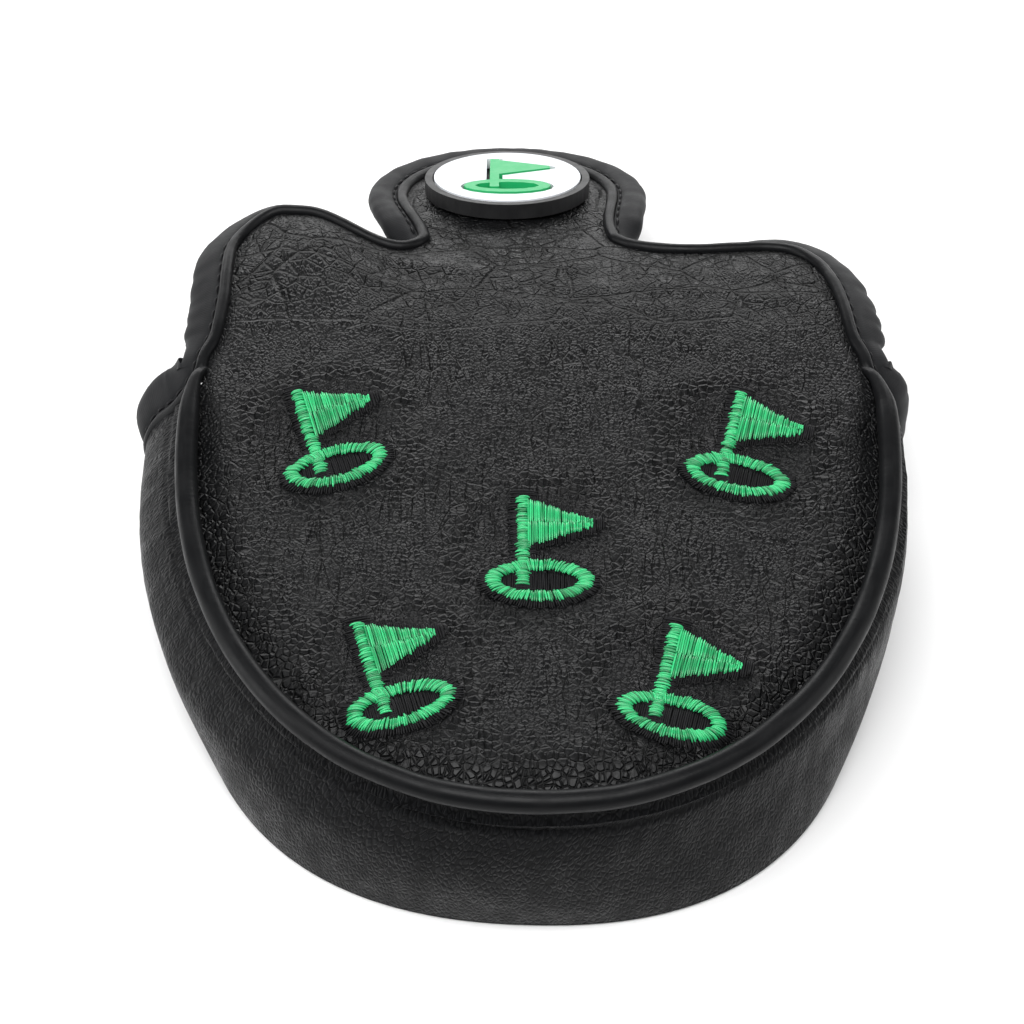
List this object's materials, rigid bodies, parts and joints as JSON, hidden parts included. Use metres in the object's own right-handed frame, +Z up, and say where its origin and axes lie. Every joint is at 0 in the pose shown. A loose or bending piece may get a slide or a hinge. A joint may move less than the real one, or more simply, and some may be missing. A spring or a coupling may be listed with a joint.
{
  "type": "putter head cover",
  "caption": "Padded leather cover for a mallet putter head, with piped wall, elastic-bound mouth, embroidered golf flag marks and a pull tongue with a round rubber badge",
  "frame": {"origin": "On the resting face of the sole, under the middle of the crown", "axes": "+X to the right seen from the closed end, +Y from the closed end to the mouth and tongue, +Z up"},
  "size_m": [0.1375, 0.1692, 0.0379],
  "materials": {
    "crown_leather": "pebbled, satin",
    "wall_leather": "fine grain, satin",
    "piping_leather": "smooth, semi-gloss",
    "foam": "open cell, matte",
    "plush_lining": "short pile, matte",
    "binding_knit": "fine knit, matte",
    "elastic": "woven, matte",
    "piping_cord": "twisted, matte",
    "black_thread": "satin stitch",
    "green_thread": "satin stitch, sheen",
    "black_rubber": "satin",
    "white_rubber": "satin",
    "green_rubber": "satin"
  },
  "bodies": {
    "shell": {"crown_panel": "crown_leather", "crown_padding": "foam", "crown_lining": "plush_lining", "wall_panel": "wall_leather", "wall_padding": "foam", "wall_lining": "plush_lining", "sole_panel": "wall_leather", "sole_padding": "foam", "sole_lining": "plush_lining", "rear_piping_cover": "piping_leather", "rear_piping_cord": "piping_cord", "left_bead": "piping_leather", "left_binding": "binding_knit", "left_elastic": "elastic", "right_bead": "piping_leather", "right_binding": "binding_knit", "right_elastic": "elastic", "sole_binding": "binding_knit", "sole_elastic": "elastic", "mark_left_front_backing": "black_thread", "mark_left_front_thread": "green_thread", "mark_right_front_backing": "black_thread", "mark_right_front_thread": "green_thread", "mark_middle_backing": "black_thread", "mark_middle_thread": "green_thread", "mark_left_rear_backing": "black_thread", "mark_left_rear_thread": "green_thread", "mark_right_rear_backing": "black_thread", "mark_right_rear_thread": "green_thread"},
    "tongue": {"tongue_panel": "crown_leather", "tongue_padding": "foam", "tongue_lining": "plush_lining", "tongue_bead": "piping_leather", "tongue_binding": "binding_knit", "tongue_elastic": "elastic", "badge_dish": "black_rubber", "badge_disc": "white_rubber", "badge_mark": "green_rubber"}
  },
  "joints": [
    {"name": "tongue_fold", "type": "hinge", "parent": "shell", "child": "tongue", "pos_m": [-0.0029, 0.0725, 0.031], "axis": [1, 0, 0], "range_deg": [-60, 35], "stiffness_Nm_per_rad": 0.05, "springref_deg": 2.86}
  ]
}
